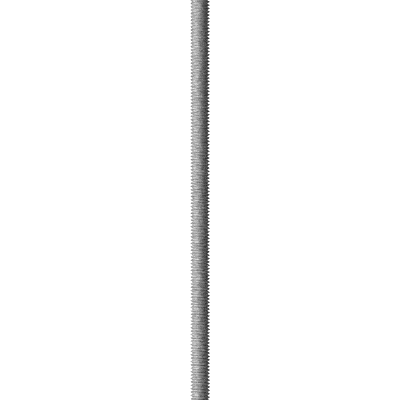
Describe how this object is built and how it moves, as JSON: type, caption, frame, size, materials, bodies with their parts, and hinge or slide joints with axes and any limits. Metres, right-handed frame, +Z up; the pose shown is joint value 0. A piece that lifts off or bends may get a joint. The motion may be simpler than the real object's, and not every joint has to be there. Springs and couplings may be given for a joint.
{
  "type": "threaded rod",
  "caption": "Straight steel rod with a right-hand external screw thread over its whole length and a chamfered flat at each end, for nuts, hangers and clamping.",
  "frame": {"origin": "centre of the flat on the lower end, which the rod stands on", "axes": "+Z up along the axis of the rod; the thread is right-hand, so X and Y only fix where it starts"},
  "size_m": [0.0092, 0.0092, 0.2032],
  "materials": {
    "zinc_coated_steel": "dull grey zinc-coated rolled steel, slightly mottled, with worn lighter crests and darker thread roots"
  },
  "bodies": {
    "root": {"threaded_rod": "zinc_coated_steel"}
  },
  "joints": []
}
